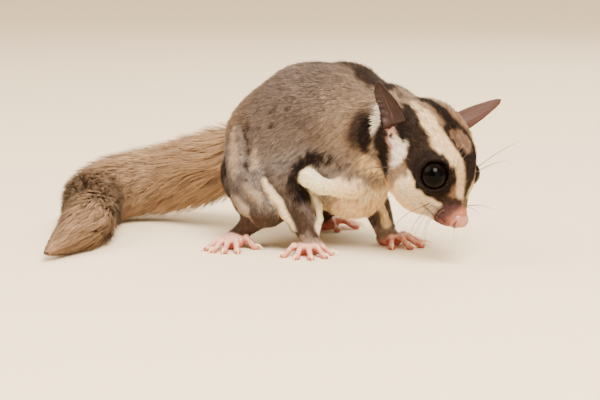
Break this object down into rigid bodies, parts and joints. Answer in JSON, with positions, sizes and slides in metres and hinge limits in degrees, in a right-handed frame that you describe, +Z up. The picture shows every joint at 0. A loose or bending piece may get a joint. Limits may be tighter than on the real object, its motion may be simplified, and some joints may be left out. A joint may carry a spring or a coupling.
{
  "type": "sugar glider",
  "caption": "Life-size still model of a sugar glider crouching on all fours, back arched, head lowered, bushy tail curled on the ground.",
  "frame": {"origin": "centre of the model's footprint box, on the ground the feet stand on", "axes": "+X forwards along the body, towards the head; +Y to the animal's left; +Z up"},
  "size_m": [0.1708, 0.1216, 0.0632],
  "materials": {
    "coat": "short dense grey-brown fur with dark stripes and cream markings",
    "tail_fur": "long soft taupe fur, darker towards the tip",
    "gliding_skin": "folded furred skin with a cream fringe",
    "ear": "thin bare brown-red skin, faintly ribbed",
    "bare_skin": "pink bare skin of the paws, with pale claws",
    "nose": "moist pink skin",
    "eye": "wet and mirror smooth, near black"
  },
  "bodies": {
    "root": {"head": "coat", "nose": "nose", "eye_right": "eye", "eye_left": "eye", "ear_right": "ear", "ear_left": "ear", "neck": "coat", "torso": "coat", "upper_arm_right": "coat", "upper_arm_left": "coat", "forearm_right": "coat", "forearm_left": "coat", "hand_right": "bare_skin", "hand_left": "bare_skin", "thigh_right": "coat", "thigh_left": "coat", "shank_right": "coat", "shank_left": "coat", "foot_right": "bare_skin", "foot_left": "bare_skin", "gliding_skin_right": "gliding_skin", "gliding_skin_left": "gliding_skin", "tail_base": "tail_fur", "tail_middle": "tail_fur", "tail_end": "tail_fur", "tail_tip": "tail_fur"}
  },
  "joints": []
}
